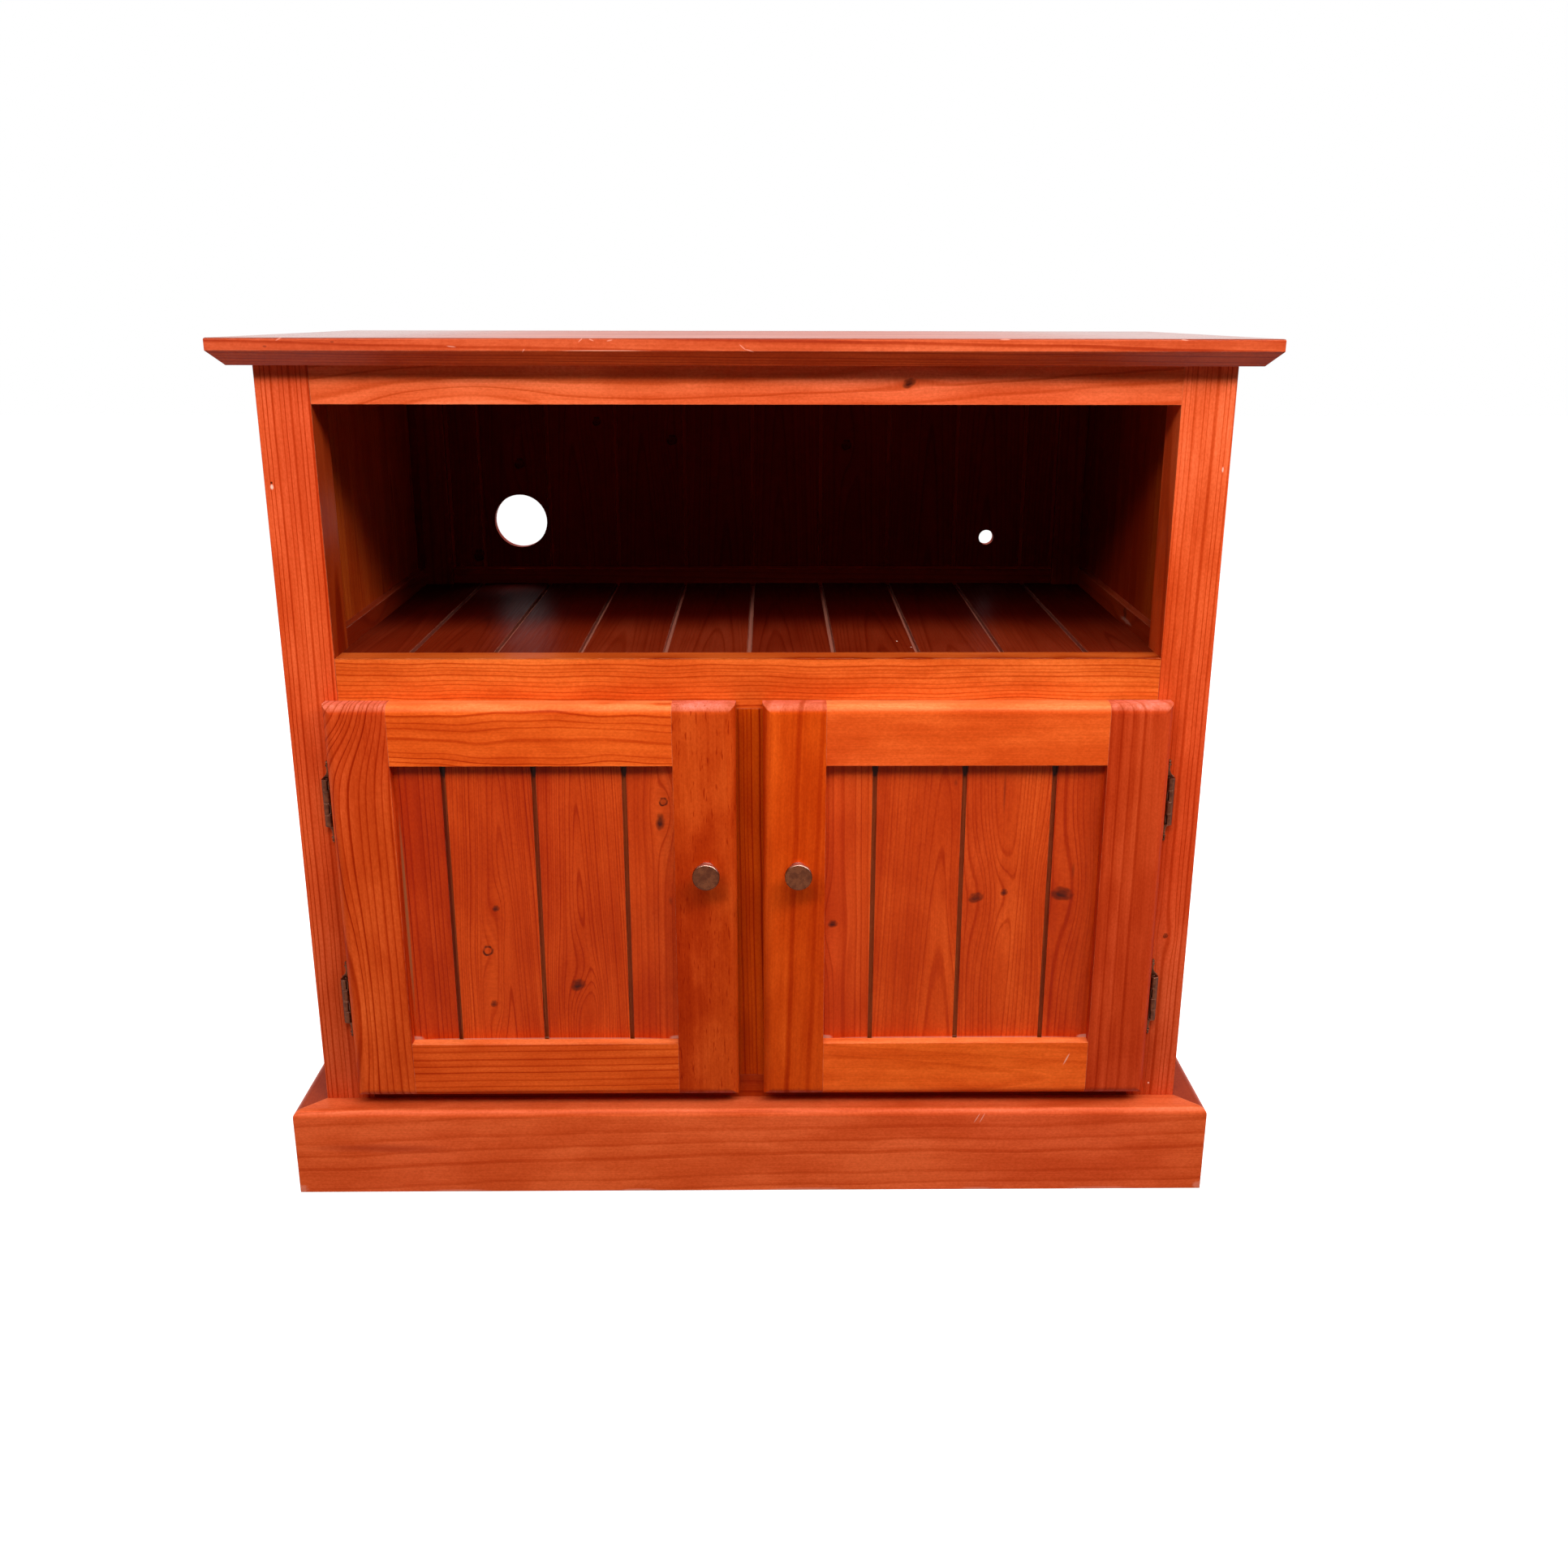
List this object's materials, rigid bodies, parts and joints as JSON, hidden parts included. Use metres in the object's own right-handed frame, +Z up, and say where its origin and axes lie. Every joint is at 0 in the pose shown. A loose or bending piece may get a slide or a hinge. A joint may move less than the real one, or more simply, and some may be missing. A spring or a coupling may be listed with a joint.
{
  "type": "television cabinet",
  "caption": "Low pine television cabinet with an open bay above a cupboard with two panelled doors on decorative hinges, on a rounded plinth.",
  "frame": {"origin": "on the floor, midway between the outer sides of the top, and midway between the foremost point (the knobs) and the rearmost (the top's back edge)", "axes": "+X to the viewer's right, +Y to the back, +Z up; the doors face -Y"},
  "size_m": [0.962, 0.5156, 0.87],
  "materials": {
    "stained_pine": "mahogany stain under satin lacquer",
    "softwood": "unfinished softwood",
    "antique_bronze": "antique bronze",
    "zinc_steel": "zinc plated",
    "catch_plastic": "satin"
  },
  "bodies": {
    "carcass": {"top_panel": "stained_pine", "front_post_left": "stained_pine", "front_post_right": "stained_pine", "rear_post_left": "stained_pine", "rear_post_right": "stained_pine", "top_front_rail": "stained_pine", "mid_front_rail": "stained_pine", "bottom_front_rail": "stained_pine", "centre_mullion": "stained_pine", "side_top_rail_left": "stained_pine", "side_top_rail_right": "stained_pine", "side_bottom_rail_left": "stained_pine", "side_bottom_rail_right": "stained_pine", "side_boards_left": "stained_pine", "side_boards_right": "stained_pine", "shelf_boards": "stained_pine", "bay_side_strips": "stained_pine", "plinth_front": "stained_pine", "plinth_left": "stained_pine", "plinth_right": "stained_pine", "back_battens": "stained_pine", "back_top_rail": "stained_pine", "back_mid_rail": "stained_pine", "back_bottom_rail": "stained_pine", "back_boards": "stained_pine", "back_board_large_hole": "stained_pine", "back_board_small_hole": "stained_pine", "deck_boards": "stained_pine", "floor_ledgers": "softwood", "plinth_glue_blocks": "softwood", "top_fixing_blocks": "softwood", "top_fixing_screws": "zinc_steel", "catch_screws": "zinc_steel", "left_hinge_frame_leaves": "antique_bronze", "right_hinge_frame_leaves": "antique_bronze", "hinge_pins": "antique_bronze", "hinge_frame_screws": "antique_bronze", "catch_cases": "catch_plastic", "catch_magnets": "zinc_steel"},
    "left_door": {"left_door_hinge_stile": "stained_pine", "left_door_meeting_stile": "stained_pine", "left_door_top_rail": "stained_pine", "left_door_bottom_rail": "stained_pine", "left_door_panel_boards": "stained_pine", "left_knob": "antique_bronze", "left_hinge_door_leaves": "antique_bronze", "left_hinge_door_screws": "antique_bronze", "left_knob_screw": "zinc_steel", "left_strike_plate": "zinc_steel"},
    "right_door": {"right_door_hinge_stile": "stained_pine", "right_door_meeting_stile": "stained_pine", "right_door_top_rail": "stained_pine", "right_door_bottom_rail": "stained_pine", "right_door_panel_boards": "stained_pine", "right_knob": "antique_bronze", "right_hinge_door_leaves": "antique_bronze", "right_hinge_door_screws": "antique_bronze", "right_knob_screw": "zinc_steel", "right_strike_plate": "zinc_steel"}
  },
  "joints": [
    {"name": "left_door_hinge", "type": "hinge", "parent": "carcass", "child": "left_door", "pos_m": [-0.418, -0.2159, 0.32025], "axis": [0, 0, -1], "range_deg": [0, 110]},
    {"name": "right_door_hinge", "type": "hinge", "parent": "carcass", "child": "right_door", "pos_m": [0.418, -0.2159, 0.32025], "axis": [0, 0, 1], "range_deg": [0, 110]}
  ]
}
